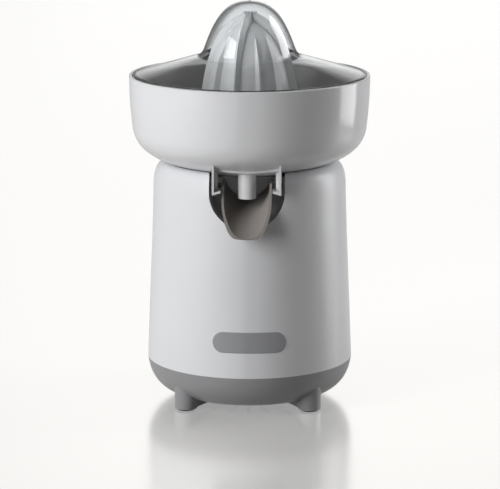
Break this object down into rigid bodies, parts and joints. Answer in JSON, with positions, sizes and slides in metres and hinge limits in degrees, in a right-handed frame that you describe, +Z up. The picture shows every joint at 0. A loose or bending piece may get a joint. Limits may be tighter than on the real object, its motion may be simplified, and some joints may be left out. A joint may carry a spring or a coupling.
{
  "type": "electric citrus juicer",
  "caption": "Electric citrus juicer with a round motor base on legs, a wide juice bowl with steel strainer, a ribbed reamer under a clear domed cover and a tilting front spout.",
  "frame": {"origin": "on the table, on the spindle's axis", "axes": "+Z up along the spindle, -Y to the front where the spout pours, +X to the right seen from the front"},
  "size_m": [0.16, 0.16, 0.2684],
  "materials": {
    "white_housing": "satin gloss moulded ABS",
    "grey_base": "satin moulded ABS",
    "black_rubber": "matt rubber",
    "zinc_screws": "zinc-plated steel",
    "black_gland": "matt soft plastic",
    "steel_plate": "zinc-plated sheet steel",
    "bronze_bush": "sintered bronze",
    "steel_rod": "turned steel",
    "spring_wire": "drawn spring wire",
    "nylon_gear": "natural nylon",
    "brass_pinion": "machined brass",
    "lamination_steel": "stacked electrical steel",
    "coil_winding": "enamelled copper wire under tape",
    "black_plastic": "moulded plastic",
    "red_plunger": "moulded plastic",
    "grey_seal": "soft rubber",
    "white_bowl": "gloss moulded plastic",
    "steel_strainer": "pressed stainless steel",
    "white_spout": "satin moulded plastic",
    "white_reamer": "gloss moulded plastic",
    "clear_cover": "clear moulded plastic"
  },
  "bodies": {
    "housing": {"motor_housing": "white_housing", "base_tray": "grey_base", "rubber_feet": "black_rubber", "base_screws": "zinc_screws", "cord_gland": "black_gland", "lower_gear_plate": "steel_plate", "upper_gear_plate": "steel_plate", "lower_hub_bush": "bronze_bush", "upper_hub_bush": "bronze_bush", "plate_pillars": "steel_rod", "plate_screws": "zinc_screws", "idler_pin": "steel_rod", "motor_stator": "lamination_steel", "motor_coil": "coil_winding", "upper_motor_bracket": "steel_plate", "lower_motor_bracket": "steel_plate", "motor_bushes": "bronze_bush", "motor_spacers": "steel_rod", "motor_bolts": "zinc_screws", "spindle_bush": "bronze_bush", "spindle_seal": "grey_seal", "switch_body": "black_plastic", "switch_bracket": "steel_plate"},
    "drive": {"output_gear": "nylon_gear", "return_spring": "spring_wire"},
    "idler": {"idler_gear": "nylon_gear"},
    "rotor": {"motor_rotor": "lamination_steel", "motor_shaft": "steel_rod", "motor_pinion": "brass_pinion", "cooling_fan": "black_plastic"},
    "spindle": {"drive_spindle": "steel_rod", "spindle_collar": "steel_rod"},
    "plunger": {"switch_plunger": "red_plunger"},
    "bowl": {"juice_bowl": "white_bowl", "spout_bracket": "white_bowl", "strainer_basket": "steel_strainer", "strainer_floor": "steel_strainer"},
    "spout": {"pour_spout": "white_spout"},
    "reamer": {"reamer_cone": "white_reamer"},
    "cover": {"dust_cover": "clear_cover", "cover_dome": "clear_cover"}
  },
  "joints": [
    {"name": "drive_spin", "type": "hinge", "parent": "housing", "child": "drive", "pos_m": [0, 0, 0.117], "axis": [0, 0, 1], "continuous": true},
    {"name": "idler_spin", "type": "hinge", "parent": "housing", "child": "idler", "pos_m": [-0.02694, 0.02235, 0.112], "axis": [0, 0, 1], "continuous": true},
    {"name": "rotor_spin", "type": "hinge", "parent": "housing", "child": "rotor", "pos_m": [0, 0.03, 0.076], "axis": [0, 0, 1], "continuous": true},
    {"name": "spindle_press", "type": "slide", "parent": "drive", "child": "spindle", "axis": [0, 0, 1], "range_m": [-0.0025, 0], "stiffness_N_per_m": 2000, "springref_m": 0.004, "deforming": ["return_spring"]},
    {"name": "plunger_press", "type": "slide", "parent": "housing", "child": "plunger", "axis": [0, 0, 1], "range_m": [-0.0025, 0]},
    {"name": "bowl_lift", "type": "slide", "parent": "housing", "child": "bowl", "axis": [0, 0, 1], "range_m": [0, 0.09]},
    {"name": "reamer_lift", "type": "slide", "parent": "spindle", "child": "reamer", "axis": [0, 0, 1], "range_m": [0, 0.09]},
    {"name": "spout_tilt", "type": "hinge", "parent": "bowl", "child": "spout", "pos_m": [0, -0.0505, 0.1535], "axis": [-1, 0, 0], "range_deg": [0, 35]},
    {"name": "cover_lift", "type": "slide", "parent": "bowl", "child": "cover", "axis": [0, 0, 1], "range_m": [0, 0.08]}
  ],
  "couplings": [
    {"joint": "idler_spin", "follows": "drive_spin", "ratio": -4},
    {"joint": "rotor_spin", "follows": "drive_spin", "ratio": 16},
    {"joint": "plunger_press", "follows": "spindle_press", "ratio": 1},
    {"joint": "reamer_lift", "follows": "bowl_lift", "ratio": 1}
  ]
}
